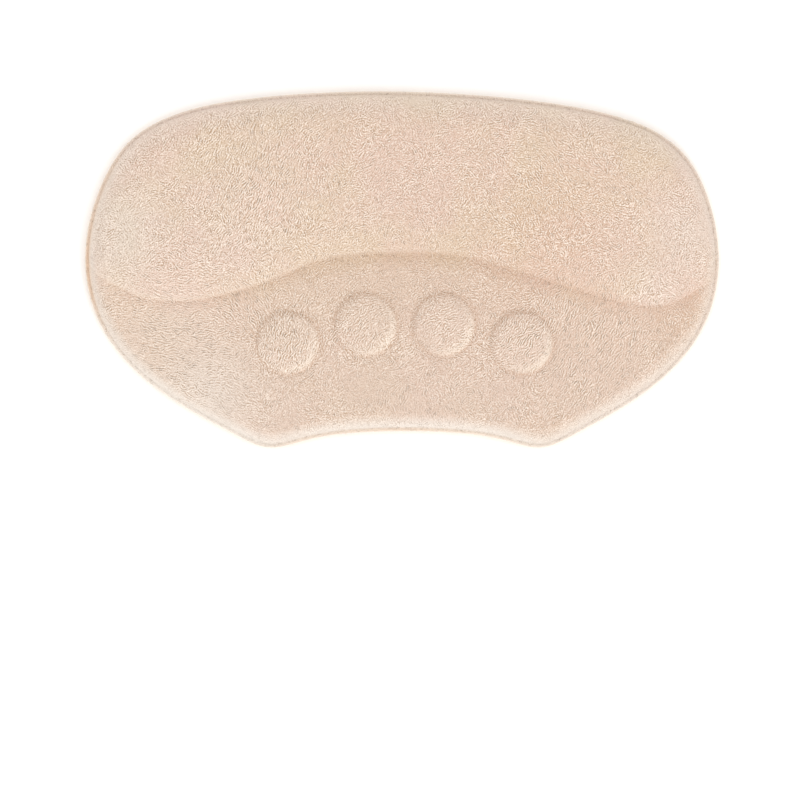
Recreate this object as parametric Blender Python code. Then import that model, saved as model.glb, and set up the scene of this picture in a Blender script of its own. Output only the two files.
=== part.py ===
"""Heel grip: a moulded pad that is stuck inside a shoe's heel, lying on its flat back.

X runs across the pad, Y from its notched lower edge to its top edge, and Z from its back to its
face. The origin is the middle of the back. The face has a thick upper bulge, an S-shaped ledge
under it, a hollow below the ledge and a row of round bumps in the hollow.
"""

from collections import namedtuple

import bpy
import numpy as np
from mathutils.geometry import delaunay_2d_cdt

# Whole pad, in metres
PAD_WIDTH = 0.105
PAD_HEIGHT = 0.059
CROWN_HEIGHT = 0.0082

# Lower edge: the distance between its two tips, the notch's depth, and how far right the middle of
# the tips and of the bumps lies from the middle of the pad
TIP_DISTANCE = 0.0453
NOTCH_DEPTH = 0.0027
LOWER_SHIFT = 0.0005

# Layers at the edge, from the back up
BACKING_THICKNESS = 0.0004
FOAM_EDGE = 0.0005
COVER_WALL = 0.0010
LAYER_GAP = 0.0003

# Lip and rounded side
LIP_WIDTH = 0.0006
SIDE_RUN_TOP = 0.0055
SIDE_RUN_LOW = 0.0028
RIM_HEIGHT = 0.0066

# Bulge, ledge and hollow
BULGE_RUN = 0.0210
LEDGE_ROUND = 0.0070
HOLLOW_DEPTH = 0.0006
HOLLOW_RUN = 0.0110
GROOVE_DEPTH = 0.0004
GROOVE_WIDTH = 0.0018

# Round bumps
BUMP_DIAMETER = 0.0103
BUMP_RISE = 0.0012
BUMP_SPACING = 0.0129

# Fineness of the faceted surface
STEPS_PER_ROW = 4
LEDGE_STEP = 0.0024
BUMP_SIDES = 18
FILL_STEP = 0.0036
FILL_ROW_SHARE = 0.87
EDGE_FITTING_STEPS = 32

# Least distance between vertices, as shares of the low side's run, of the bump's radius and of the
# steps along the ledge and in the field
SIDE_CLEARANCE = 0.03
BUMP_CLEARANCE = 0.05
LEDGE_CLEARANCE = 0.15
FILL_CLEARANCE = 0.60

# Upper edge of the pad, clockwise from its left widest point to its right one: shares of half the
# width and half the height
UpperPoint = namedtuple("UpperPoint", "across up")
UPPER_EDGE = [
    UpperPoint(-0.998, -0.010),
    UpperPoint(-0.990, 0.235),
    UpperPoint(-0.945, 0.490),
    UpperPoint(-0.860, 0.720),
    UpperPoint(-0.735, 0.857),
    UpperPoint(-0.520, 0.950),
    UpperPoint(-0.280, 0.990),
    UpperPoint(-0.050, 1.000),
    UpperPoint(0.240, 0.978),
    UpperPoint(0.498, 0.927),
    UpperPoint(0.680, 0.858),
    UpperPoint(0.808, 0.765),
    UpperPoint(0.900, 0.625),
    UpperPoint(0.960, 0.425),
    UpperPoint(0.994, 0.180),
    UpperPoint(0.995, -0.055),
]

# Slanting lower edge, from the widest point down to the tip, the same on both sides: shares of the
# way out from the tip, and of half the height
FlankPoint = namedtuple("FlankPoint", "flare up")
FLANK = [
    FlankPoint(0.921, -0.300),
    FlankPoint(0.744, -0.550),
    FlankPoint(0.456, -0.773),
    FlankPoint(0.178, -0.930),
]

# Half of the notch, from the tip to the middle: shares of half the tips' distance and of the depth
NotchPoint = namedtuple("NotchPoint", "across rise")
NOTCH = [
    NotchPoint(1.000, 0.000),
    NotchPoint(0.760, 0.360),
    NotchPoint(0.575, 0.700),
    NotchPoint(0.300, 0.930),
    NotchPoint(0.000, 1.000),
]

# Foot of the ledge, left to right: shares of half the width and half the height, and of the
# groove's depth
LedgePoint = namedtuple("LedgePoint", "across up groove")
LEDGE = [
    LedgePoint(-1.050, 0.060, 0.0),
    LedgePoint(-0.930, -0.070, 0.1),
    LedgePoint(-0.842, -0.150, 0.2),
    LedgePoint(-0.716, -0.184, 0.2),
    LedgePoint(-0.464, -0.098, 0.4),
    LedgePoint(-0.259, 0.042, 0.9),
    LedgePoint(-0.006, 0.087, 1.0),
    LedgePoint(0.215, 0.059, 1.0),
    LedgePoint(0.372, -0.025, 0.9),
    LedgePoint(0.530, -0.110, 0.5),
    LedgePoint(0.688, -0.187, 0.3),
    LedgePoint(0.830, -0.206, 0.5),
    LedgePoint(0.937, -0.110, 0.7),
    LedgePoint(1.050, 0.060, 0.0),
]

# Round bumps: centre in steps of the spacing from the row's middle, and as a share of half the
# height
BumpPlace = namedtuple("BumpPlace", "steps up")
BUMPS = [
    BumpPlace(-1.5, -0.414),
    BumpPlace(-0.5, -0.313),
    BumpPlace(0.5, -0.313),
    BumpPlace(1.5, -0.414),
]

# Power in the bumps' round profile, and how far the hollow and the groove fade in, as a share of
# the side's run. The groove's upper side is this share of its lower side.
BUMP_FLATNESS = 3
FADE_SHARE = 1.5
GROOVE_UPPER_SHARE = 0.25

# Lines of vertices: shares of the side's run, of the ledge's rounding and of the bump's radius
SIDE_LINES = (0.0, 0.04, 0.16, 0.40, 0.70, 1.10)
LEDGE_LINES = (-0.60, -0.24, -0.06, 0.02, 0.09, 0.25, 0.55, 0.95)
BUMP_LINES = (0.0, 0.55, 0.82, 0.95, 1.02)

HALF_WIDTH = PAD_WIDTH / 2
HALF_HEIGHT = PAD_HEIGHT / 2
HALF_TIPS = TIP_DISTANCE / 2
BUMP_RADIUS = BUMP_DIAMETER / 2
FOAM_BOTTOM = BACKING_THICKNESS + LAYER_GAP
LIP_TOP = FOAM_BOTTOM + FOAM_EDGE + LAYER_GAP + COVER_WALL

Layout = namedtuple("Layout", "points triangles rim inset")


def clear_scene():
    for obj in list(bpy.data.objects):
        bpy.data.objects.remove(obj, do_unlink=True)


def smoothstep(share):
    share = np.clip(share, 0.0, 1.0)
    return share * share * (3.0 - 2.0 * share)


def quarter_round(share):
    """Height of a quarter ellipse from its upright end, 0, to its level end, 1."""
    share = np.clip(share, 0.0, 1.0)
    return np.sqrt(1.0 - (1.0 - share) ** 2)


def smooth_loop(corners, steps):
    """A closed curve through the corners, with as many steps between each pair."""
    count = len(corners)
    length = np.linalg.norm(np.roll(corners, -1, axis=0) - corners, axis=1)
    system = np.zeros((count, count))
    right = np.zeros((count, 2))
    for i in range(count):
        before, after = length[i - 1], length[i]
        following = (i + 1) % count
        system[i, i - 1] = after
        system[i, i] = 2.0 * (before + after)
        system[i, following] = before
        right[i] = 3.0 * (
            after * (corners[i] - corners[i - 1]) / before
            + before * (corners[following] - corners[i]) / after
        )
    slope = np.linalg.solve(system, right)
    curve = []
    for i in range(count):
        following = (i + 1) % count
        for share in np.arange(steps) / steps:
            square, cube = share**2, share**3
            curve.append(
                (2 * cube - 3 * square + 1) * corners[i]
                + (cube - 2 * square + share) * length[i] * slope[i]
                + (3 * square - 2 * cube) * corners[following]
                + (cube - square) * length[i] * slope[following]
            )
    return np.array(curve)


def edge_corners():
    """The points that the pad's edge runs through, clockwise."""
    reach = {1: HALF_WIDTH - LOWER_SHIFT, -1: HALF_WIDTH + LOWER_SHIFT}
    flank = {
        side: [
            (
                LOWER_SHIFT + side * (HALF_TIPS + p.flare * (reach[side] - HALF_TIPS)),
                p.up * HALF_HEIGHT,
            )
            for p in FLANK
        ]
        for side in reach
    }
    notch = {
        side: [
            (LOWER_SHIFT + side * p.across * HALF_TIPS, p.rise * NOTCH_DEPTH - HALF_HEIGHT)
            for p in NOTCH
        ]
        for side in reach
    }
    upper = [(p.across * HALF_WIDTH, p.up * HALF_HEIGHT) for p in UPPER_EDGE]
    lower_right = flank[1] + notch[1]
    lower_left = flank[-1] + notch[-1][:-1]
    return np.array(upper + lower_right + lower_left[::-1])


def pad_edge(steps):
    """The pad's outline, exactly as wide and as high as the pad and centred on the origin."""
    corners = edge_corners()
    fine = smooth_loop(corners, EDGE_FITTING_STEPS)
    low, high = fine.min(axis=0), fine.max(axis=0)
    size = np.array([PAD_WIDTH, PAD_HEIGHT])
    return (smooth_loop(corners, steps) - (low + high) / 2) * size / (high - low)


def inset_from_edge(points):
    """Distance of each point from the pad's edge, and whether it lies inside."""
    start = pad_edge(STEPS_PER_ROW)
    end = np.roll(start, -1, axis=0)
    run = end - start
    away = points[:, None, :] - start[None, :, :]
    along = np.clip((away * run).sum(axis=2) / (run**2).sum(axis=1), 0.0, 1.0)
    distance = np.linalg.norm(away - along[:, :, None] * run, axis=2).min(axis=1)
    x, y = points[:, 0, None], points[:, 1, None]
    straddles = (start[:, 1] > y) != (end[:, 1] > y)
    rise = np.where(run[:, 1] == 0.0, 1.0, run[:, 1])
    crossing = start[:, 0] + (y - start[:, 1]) * run[:, 0] / rise
    inside = (straddles & (x < crossing)).sum(axis=1) % 2 == 1
    return distance, inside


def ledge_at(x):
    """The ledge's height up the pad, its slope and its share of the groove, at each x."""
    knots = np.array([p.across for p in LEDGE]) * HALF_WIDTH
    up = np.array([p.up for p in LEDGE]) * HALF_HEIGHT
    groove = np.array([p.groove for p in LEDGE])
    tangent = np.gradient(up, knots)
    i = np.clip(np.searchsorted(knots, x) - 1, 0, len(knots) - 2)
    span = knots[i + 1] - knots[i]
    share = np.clip((x - knots[i]) / span, 0.0, 1.0)
    square, cube = share**2, share**3
    height = (
        (2 * cube - 3 * square + 1) * up[i]
        + (cube - 2 * square + share) * span * tangent[i]
        + (3 * square - 2 * cube) * up[i + 1]
        + (cube - square) * span * tangent[i + 1]
    )
    slope = tangent[i] + (tangent[i + 1] - tangent[i]) * share
    return height, slope, groove[i] + (groove[i + 1] - groove[i]) * smoothstep(share)


def above_ledge(points):
    """Distance of each point above the ledge's foot, square to it."""
    height, slope, _ = ledge_at(points[:, 0])
    return (points[:, 1] - height) / np.hypot(1.0, slope)


def side_run(y):
    """How far the rounded side reaches inwards from the lip: long at the top, short below."""
    return SIDE_RUN_LOW + (SIDE_RUN_TOP - SIDE_RUN_LOW) * smoothstep(y / HALF_HEIGHT)


def bump_centres():
    return [
        (LOWER_SHIFT + place.steps * BUMP_SPACING, place.up * HALF_HEIGHT)
        for place in BUMPS
    ]


def face_height(points, inset, depth):
    """Height of the surface that lies this deep under the pad's face."""
    x, y = points[:, 0], points[:, 1]
    run = side_run(y)
    away = above_ledge(points)
    inner = inset - LIP_WIDTH
    from_rim = smoothstep(inner / (FADE_SHARE * run))

    hollow = np.exp(-((np.minimum(away, 0.0) / HOLLOW_RUN) ** 2))
    floor = RIM_HEIGHT - HOLLOW_DEPTH * hollow * from_rim
    climb = 1.0 - (1.0 - np.clip(inner / BULGE_RUN, 0.0, 1.0)) ** 2
    bulge = RIM_HEIGHT + (CROWN_HEIGHT - RIM_HEIGHT) * climb
    top = floor + (bulge - floor) * quarter_round(away / LEDGE_ROUND)

    reach = GROOVE_WIDTH * np.where(away < 0.0, 1.0, GROOVE_UPPER_SHARE)
    groove = ledge_at(x)[2] * np.exp(-((away / reach) ** 2))
    top -= GROOVE_DEPTH * groove * from_rim
    for centre_x, centre_y in bump_centres():
        share = np.hypot(x - centre_x, y - centre_y) / BUMP_RADIUS
        top += BUMP_RISE * np.sqrt(1.0 - np.minimum(share, 1.0) ** BUMP_FLATNESS)

    side = quarter_round((inner - depth) / run)
    return LIP_TOP - depth + (top - LIP_TOP) * side


def lip_and_side_lines(edge):
    """Rows of points that follow the edge across the lip and up the rounded side."""
    along = np.roll(edge, -1, axis=0) - np.roll(edge, 1, axis=0)
    along /= np.linalg.norm(along, axis=1)[:, None]
    inwards = np.stack([along[:, 1], -along[:, 0]], axis=1)
    run = side_run(edge[:, 1])[:, None]
    return [edge + inwards * (LIP_WIDTH + share * run) for share in SIDE_LINES]


def ledge_lines():
    """Rows of points that follow the ledge, close together where it turns fastest."""
    count = int(PAD_WIDTH / LEDGE_STEP) + 1
    x = np.linspace(-HALF_WIDTH, HALF_WIDTH, count)
    height, slope, _ = ledge_at(x)
    square = np.stack([-slope, np.ones(count)], axis=1) / np.hypot(1.0, slope)[:, None]
    foot = np.stack([x, height], axis=1)
    return [foot + square * share * LEDGE_ROUND for share in LEDGE_LINES]


def bump_lines():
    """Rings of points round each bump's centre."""
    turn = np.arange(BUMP_SIDES) * 2.0 * np.pi / BUMP_SIDES
    ring = np.stack([np.cos(turn), np.sin(turn)], axis=1)
    rings = []
    for centre in bump_centres():
        for share in BUMP_LINES:
            rings.append(np.array(centre) + ring * share * BUMP_RADIUS)
    return rings


def fill_points():
    """An even field of points for what the lines leave free."""
    row_step = FILL_STEP * FILL_ROW_SHARE
    rows = int(PAD_HEIGHT / row_step) + 1
    columns = int(PAD_WIDTH / FILL_STEP) + 2
    field = []
    for row in range(rows):
        y = -HALF_HEIGHT + row * row_step
        shift = FILL_STEP / 2 if row % 2 else 0.0
        for column in range(columns):
            field.append((-HALF_WIDTH + column * FILL_STEP + shift, y))
    return [np.array(field)]


def keep_clear(kept, rows, least_inset, least_distance):
    """Adds the rows' points that lie inside the edge and clear of the points kept so far."""
    for row in rows:
        inset, inside = inset_from_edge(row)
        for point in row[inside & (inset > least_inset)]:
            nearest = np.hypot(*(np.array(kept) - point).T).min()
            if nearest > least_distance:
                kept.append(tuple(point))


def pad_layout():
    """Triangles over the pad's outline that follow its rim, ledge and bumps."""
    edge = pad_edge(STEPS_PER_ROW)
    kept = [tuple(point) for point in edge]
    side_end = LIP_WIDTH + SIDE_RUN_LOW
    for row in lip_and_side_lines(edge):
        keep_clear(kept, [row], LIP_WIDTH / 2, SIDE_CLEARANCE * SIDE_RUN_LOW)
    keep_clear(kept, bump_lines(), side_end, BUMP_CLEARANCE * BUMP_RADIUS)
    keep_clear(kept, ledge_lines(), side_end, LEDGE_CLEARANCE * LEDGE_STEP)
    keep_clear(kept, fill_points(), side_end, FILL_CLEARANCE * FILL_STEP)
    rim = list(range(len(edge)))
    points, _, triangles, _, _, _ = delaunay_2d_cdt(kept, [], [rim], 1, 1e-7)
    points = np.array([tuple(point) for point in points])
    inset, _ = inset_from_edge(points)
    inset[rim] = 0.0
    return Layout(points, [tuple(t) for t in triangles], rim, inset)


def rim_walls(rim, upper, lower):
    """Upright faces between two rows of rim vertices, facing out."""
    following = rim[1:] + rim[:1]
    return [
        (upper + a, upper + b, lower + j, lower + i)
        for a, b, i, j in zip(rim, following, rim, following)
    ]


def finish_piece(name, mesh, material, collection):
    mesh.validate()
    mesh.update()
    mesh.shade_smooth()
    mesh.set_sharp_from_angle(angle=np.radians(50))
    mesh.materials.append(material)
    piece = bpy.data.objects.new(name, mesh)
    collection.objects.link(piece)
    return piece


def facing_up(layout):
    """The layout's triangles, each turned so that it faces up."""
    turned = []
    for a, b, c in layout.triangles:
        first = layout.points[b] - layout.points[a]
        second = layout.points[c] - layout.points[a]
        left_turn = first[0] * second[1] - first[1] * second[0] > 0.0
        turned.append((a, b, c) if left_turn else (a, c, b))
    return turned


def make_cover(layout, material, collection):
    """The fabric skin: the face, and its inside one wall further down."""
    outside = face_height(layout.points, layout.inset, 0.0)
    inside = face_height(layout.points, layout.inset, COVER_WALL)
    count = len(layout.points)
    vertices = [(*p, z) for p, z in zip(layout.points, outside)]
    vertices += [(*p, z) for p, z in zip(layout.points, inside)]
    upper = facing_up(layout)
    faces = list(upper)
    faces += [(a + count, c + count, b + count) for a, b, c in upper]
    faces += rim_walls(layout.rim, 0, count)
    mesh = bpy.data.meshes.new("fabric_cover")
    mesh.from_pydata(vertices, [], faces)
    return finish_piece("fabric_cover", mesh, material, collection)


def make_foam(layout, material, collection):
    """The moulded foam under the skin, flat below and thin under the lip."""
    top = face_height(layout.points, layout.inset, COVER_WALL + LAYER_GAP)
    count = len(layout.points)
    vertices = [(*p, z) for p, z in zip(layout.points, top)]
    vertices += [(*layout.points[i], FOAM_BOTTOM) for i in layout.rim]
    faces = facing_up(layout)
    faces += rim_walls(layout.rim, 0, count)
    faces.append([count + i for i in layout.rim])
    mesh = bpy.data.meshes.new("foam_core")
    mesh.from_pydata(vertices, [], faces)
    return finish_piece("foam_core", mesh, material, collection)


def make_backing(material, collection):
    """The flat sticky sheet, cut to the pad's edge."""
    curve = bpy.data.curves.new("adhesive_backing", "CURVE")
    curve.dimensions = "2D"
    curve.fill_mode = "BOTH"
    curve.extrude = BACKING_THICKNESS / 2
    edge = pad_edge(STEPS_PER_ROW)
    spline = curve.splines.new("POLY")
    spline.points.add(len(edge) - 1)
    for point, (x, y) in zip(spline.points, edge):
        point.co = (x, y, 0.0, 1.0)
    spline.use_cyclic_u = True
    curve.materials.append(material)
    piece = bpy.data.objects.new("adhesive_backing", curve)
    piece.location.z = BACKING_THICKNESS / 2
    collection.objects.link(piece)
    return piece


def make_material(name, color, roughness):
    material = bpy.data.materials.new(name)
    material.use_nodes = True
    shader = material.node_tree.nodes["Principled BSDF"]
    shader.inputs["Base Color"].default_value = (*color, 1.0)
    shader.inputs["Roughness"].default_value = roughness
    shader.inputs["Metallic"].default_value = 0.0
    return material


def main():
    clear_scene()
    collection = bpy.data.collections.new("heel_grip")
    bpy.context.scene.collection.children.link(collection)
    suede = make_material("suede_fabric", (0.79, 0.62, 0.50), 0.95)
    foam = make_material("moulded_foam", (0.87, 0.62, 0.42), 0.85)
    adhesive = make_material("adhesive_sheet", (0.60, 0.38, 0.12), 0.45)
    layout = pad_layout()
    make_cover(layout, suede, collection)
    make_foam(layout, foam, collection)
    make_backing(adhesive, collection)


main()
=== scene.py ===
from collections import namedtuple

import bpy
import numpy as np
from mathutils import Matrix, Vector
from mathutils.geometry import delaunay_2d_cdt
from mathutils.kdtree import KDTree


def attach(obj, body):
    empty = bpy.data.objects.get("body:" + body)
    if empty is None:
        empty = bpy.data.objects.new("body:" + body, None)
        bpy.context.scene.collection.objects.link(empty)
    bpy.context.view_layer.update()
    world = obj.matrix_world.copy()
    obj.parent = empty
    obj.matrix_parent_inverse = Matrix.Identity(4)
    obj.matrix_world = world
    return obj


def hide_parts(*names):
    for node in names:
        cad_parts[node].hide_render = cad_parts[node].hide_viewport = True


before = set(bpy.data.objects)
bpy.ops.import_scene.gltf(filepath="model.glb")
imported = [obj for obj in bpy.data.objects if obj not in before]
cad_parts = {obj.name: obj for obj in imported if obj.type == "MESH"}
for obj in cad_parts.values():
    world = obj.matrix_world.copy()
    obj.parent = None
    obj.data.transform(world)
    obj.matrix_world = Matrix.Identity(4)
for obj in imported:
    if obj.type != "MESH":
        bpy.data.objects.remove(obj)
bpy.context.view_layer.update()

# Whole pad, in millimetres: the same sizes as the solids have
PAD_WIDTH = 105.0
PAD_HEIGHT = 59.0
CROWN_HEIGHT = 8.2
TIP_DISTANCE = 45.3
NOTCH_DEPTH = 2.7
LOWER_SHIFT = 0.5
LIP_TOP = 2.5
LIP_WIDTH = 0.6
SIDE_RUN_TOP = 5.5
SIDE_RUN_LOW = 2.8
RIM_HEIGHT = 6.6
BULGE_RUN = 21.0
LEDGE_ROUND = 7.0
HOLLOW_DEPTH = 0.6
HOLLOW_RUN = 11.0
GROOVE_DEPTH = 0.4
GROOVE_WIDTH = 1.8
BUMP_DIAMETER = 10.3
BUMP_RISE = 1.2
BUMP_SPACING = 12.9
BUMP_FLATNESS = 3
FADE_SHARE = 1.5
GROOVE_UPPER_SHARE = 0.25

# Layers at the edge, as they show: film, parting line, foam, fabric
FILM_TOP = 0.48
FOAM_BOTTOM = 0.60
FOAM_TOP = 1.22
COVER_BOTTOM = 1.25
COVER_WALL = 1.0
LIP_CORNER = 0.32

# Rings round the layers' edges: how far in they lie, and how high
EdgeRing = namedtuple("EdgeRing", "tuck height")
LIP_RINGS = [
    EdgeRing(0.00, 1.90),
    EdgeRing(0.00, 1.60),
    EdgeRing(0.00, 1.38),
    EdgeRing(0.06, COVER_BOTTOM),
]
FILM_RINGS = [
    EdgeRing(0.20, FILM_TOP),
    EdgeRing(0.10, 0.44),
    EdgeRing(0.06, 0.34),
    EdgeRing(0.08, 0.24),
    EdgeRing(0.12, 0.19),
    EdgeRing(0.04, 0.15),
    EdgeRing(0.00, 0.08),
    EdgeRing(0.02, 0.02),
    EdgeRing(0.08, 0.00),
]
FOAM_RING_COUNT = 6
FOAM_TUCK = 0.04
FOAM_WAIST = 0.10
FOAM_ROUGHNESS = 0.025
FOAM_SEED = 5

# Bumps: softness of the foot, and the faint moat round it
FOOT_SOFTNESS = 0.11
FOOT_REACH = 0.9
MOAT_DEPTH = 0.10
MOAT_DISTANCE = 0.25
MOAT_WIDTH = 0.35

# Fineness of the fabric's surface, and of the faces that hardly show
ALONG_EDGE = 0.26
FACE_STEP = 0.27
COARSE_EDGE = 0.45
COARSE_STEP = 2.0
COARSE_MARGIN = 1.2

UpperPoint = namedtuple("UpperPoint", "across up")
UPPER_EDGE = [
    UpperPoint(-0.998, -0.010),
    UpperPoint(-0.990, 0.235),
    UpperPoint(-0.945, 0.490),
    UpperPoint(-0.860, 0.720),
    UpperPoint(-0.735, 0.857),
    UpperPoint(-0.520, 0.950),
    UpperPoint(-0.280, 0.990),
    UpperPoint(-0.050, 1.000),
    UpperPoint(0.240, 0.978),
    UpperPoint(0.498, 0.927),
    UpperPoint(0.680, 0.858),
    UpperPoint(0.808, 0.765),
    UpperPoint(0.900, 0.625),
    UpperPoint(0.960, 0.425),
    UpperPoint(0.994, 0.180),
    UpperPoint(0.995, -0.055),
]
FlankPoint = namedtuple("FlankPoint", "flare up")
FLANK = [
    FlankPoint(0.921, -0.300),
    FlankPoint(0.744, -0.550),
    FlankPoint(0.456, -0.773),
    FlankPoint(0.178, -0.930),
]
NotchPoint = namedtuple("NotchPoint", "across rise")
NOTCH = [
    NotchPoint(1.000, 0.000),
    NotchPoint(0.760, 0.360),
    NotchPoint(0.575, 0.700),
    NotchPoint(0.300, 0.930),
    NotchPoint(0.000, 1.000),
]
LedgePoint = namedtuple("LedgePoint", "across up groove")
LEDGE = [
    LedgePoint(-1.050, 0.060, 0.0),
    LedgePoint(-0.930, -0.070, 0.1),
    LedgePoint(-0.842, -0.150, 0.2),
    LedgePoint(-0.716, -0.184, 0.2),
    LedgePoint(-0.464, -0.098, 0.4),
    LedgePoint(-0.259, 0.042, 0.9),
    LedgePoint(-0.006, 0.087, 1.0),
    LedgePoint(0.215, 0.059, 1.0),
    LedgePoint(0.372, -0.025, 0.9),
    LedgePoint(0.530, -0.110, 0.5),
    LedgePoint(0.688, -0.187, 0.3),
    LedgePoint(0.830, -0.206, 0.5),
    LedgePoint(0.937, -0.110, 0.7),
    LedgePoint(1.050, 0.060, 0.0),
]
BumpPlace = namedtuple("BumpPlace", "steps up")
BUMPS = [
    BumpPlace(-1.5, -0.414),
    BumpPlace(-0.5, -0.313),
    BumpPlace(0.5, -0.313),
    BumpPlace(1.5, -0.414),
]

HALF_WIDTH = PAD_WIDTH / 2
HALF_HEIGHT = PAD_HEIGHT / 2
HALF_TIPS = TIP_DISTANCE / 2
BUMP_RADIUS = BUMP_DIAMETER / 2


def smoothstep(share):
    share = np.clip(share, 0.0, 1.0)
    return share * share * (3.0 - 2.0 * share)


def quarter_round(share):
    share = np.clip(share, 0.0, 1.0)
    return np.sqrt(1.0 - (1.0 - share) ** 2)


def fall_off(distance, reach):
    """1 at no distance, and less and less from the reach on."""
    return np.exp(-((distance / reach) ** 2))


Band = namedtuple("Band", "place width amount")


def along(distance, band):
    """A band's amount in its middle line, fading out to both sides."""
    return band.amount * fall_off(distance - band.place, band.width)


def smooth_loop(corners, steps):
    """A closed curve through the corners, smooth in slope and bend."""
    count = len(corners)
    length = np.linalg.norm(np.roll(corners, -1, axis=0) - corners, axis=1)
    system = np.zeros((count, count))
    right = np.zeros((count, 2))
    for i in range(count):
        before, after = length[i - 1], length[i]
        following = (i + 1) % count
        system[i, i - 1] = after
        system[i, i] = 2.0 * (before + after)
        system[i, following] = before
        right[i] = 3.0 * (
            after * (corners[i] - corners[i - 1]) / before
            + before * (corners[following] - corners[i]) / after
        )
    slope = np.linalg.solve(system, right)
    curve = []
    for i in range(count):
        following = (i + 1) % count
        for share in np.arange(steps) / steps:
            square, cube = share**2, share**3
            curve.append(
                (2 * cube - 3 * square + 1) * corners[i]
                + (cube - 2 * square + share) * length[i] * slope[i]
                + (3 * square - 2 * cube) * corners[following]
                + (cube - square) * length[i] * slope[following]
            )
    return np.array(curve)


def edge_corners():
    """Corners of the outline, clockwise from the left end."""
    reach = {1: HALF_WIDTH - LOWER_SHIFT, -1: HALF_WIDTH + LOWER_SHIFT}
    flank = {
        side: [
            (
                LOWER_SHIFT + side * (HALF_TIPS + p.flare * (reach[side] - HALF_TIPS)),
                p.up * HALF_HEIGHT,
            )
            for p in FLANK
        ]
        for side in reach
    }
    notch = {
        side: [
            (LOWER_SHIFT + side * p.across * HALF_TIPS, p.rise * NOTCH_DEPTH - HALF_HEIGHT)
            for p in NOTCH
        ]
        for side in reach
    }
    upper = [(p.across * HALF_WIDTH, p.up * HALF_HEIGHT) for p in UPPER_EDGE]
    lower_right = flank[1] + notch[1]
    lower_left = flank[-1] + notch[-1][:-1]
    return np.array(upper + lower_right + lower_left[::-1])


def pad_edge(steps):
    corners = edge_corners()
    fine = smooth_loop(corners, 32)
    low, high = fine.min(axis=0), fine.max(axis=0)
    size = np.array([PAD_WIDTH, PAD_HEIGHT])
    return (smooth_loop(corners, steps) - (low + high) / 2) * size / (high - low)


def even_edge(step):
    """The outline with its points this far apart, clockwise."""
    fine = pad_edge(48)
    closed = np.vstack([fine, fine[:1]])
    gaps = np.linalg.norm(np.diff(closed, axis=0), axis=1)
    travelled = np.concatenate([[0.0], np.cumsum(gaps)])
    count = int(round(travelled[-1] / step))
    wanted = np.arange(count) * travelled[-1] / count
    return np.stack([np.interp(wanted, travelled, closed[:, k]) for k in (0, 1)], axis=1)


def inwards_from(edge):
    """Unit vectors that point from a clockwise outline into the pad."""
    forwards = np.roll(edge, -1, axis=0) - np.roll(edge, 1, axis=0)
    forwards /= np.linalg.norm(forwards, axis=1)[:, None]
    return np.stack([forwards[:, 1], -forwards[:, 0]], axis=1)


EDGE_STEP = 0.05
EDGE = even_edge(EDGE_STEP)
EDGE_INWARDS = inwards_from(EDGE)
EDGE_TREE = KDTree(len(EDGE))
for number, (x, y) in enumerate(EDGE):
    EDGE_TREE.insert((x, y, 0.0), number)
EDGE_TREE.balance()


def nearest_on_edge(points):
    return np.array([EDGE_TREE.find((x, y, 0.0))[1] for x, y in points])


def inset_from_edge(points, nearest=None):
    """Distance inwards from the outline, below 0 outside it."""
    nearest = nearest_on_edge(points) if nearest is None else nearest
    away = points - EDGE[nearest]
    square = (away * EDGE_INWARDS[nearest]).sum(axis=1)
    straight = np.linalg.norm(away, axis=1)
    close = straight < 6 * EDGE_STEP
    return np.where(close, square, np.copysign(straight, square))


def ledge_at(x):
    """The ledge's line at x: its height up the pad, its slope and its groove."""
    knots = np.array([p.across for p in LEDGE]) * HALF_WIDTH
    up = np.array([p.up for p in LEDGE]) * HALF_HEIGHT
    groove = np.array([p.groove for p in LEDGE])
    tangent = np.gradient(up, knots)
    i = np.clip(np.searchsorted(knots, x) - 1, 0, len(knots) - 2)
    span = knots[i + 1] - knots[i]
    share = np.clip((x - knots[i]) / span, 0.0, 1.0)
    square, cube = share**2, share**3
    height = (
        (2 * cube - 3 * square + 1) * up[i]
        + (cube - 2 * square + share) * span * tangent[i]
        + (3 * square - 2 * cube) * up[i + 1]
        + (cube - square) * span * tangent[i + 1]
    )
    slope = tangent[i] + (tangent[i + 1] - tangent[i]) * share
    return height, slope, groove[i] + (groove[i + 1] - groove[i]) * smoothstep(share)


def above_ledge(points):
    """Distance up from the ledge's line, below 0 in the hollow."""
    height, slope, _ = ledge_at(points[:, 0])
    return (points[:, 1] - height) / np.hypot(1.0, slope)


def side_run(y):
    """How far in the rounded side reaches, wider at the top than at the notch."""
    return SIDE_RUN_LOW + (SIDE_RUN_TOP - SIDE_RUN_LOW) * smoothstep(y / HALF_HEIGHT)


def bump_centres():
    return np.array(
        [(LOWER_SHIFT + p.steps * BUMP_SPACING, p.up * HALF_HEIGHT) for p in BUMPS]
    )


def bump_profile(distance):
    """Height of a bump at this distance from its centre, with a softened foot."""
    radius = np.linspace(0.0, BUMP_RADIUS + 2.0, 400)
    sharp = np.sqrt(1.0 - np.minimum(radius / BUMP_RADIUS, 1.0) ** BUMP_FLATNESS)
    step = radius[1] - radius[0]
    reach = int(FOOT_REACH / step)
    offset = np.arange(-reach, reach + 1) * step
    kernel = fall_off(offset, FOOT_SOFTNESS)
    padded = np.pad(sharp, reach, mode="edge")
    soft = np.convolve(padded, kernel / kernel.sum(), mode="valid")
    moat = MOAT_DEPTH * fall_off(distance - BUMP_RADIUS - MOAT_DISTANCE, MOAT_WIDTH)
    return BUMP_RISE * np.interp(distance, radius, soft) - moat


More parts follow.
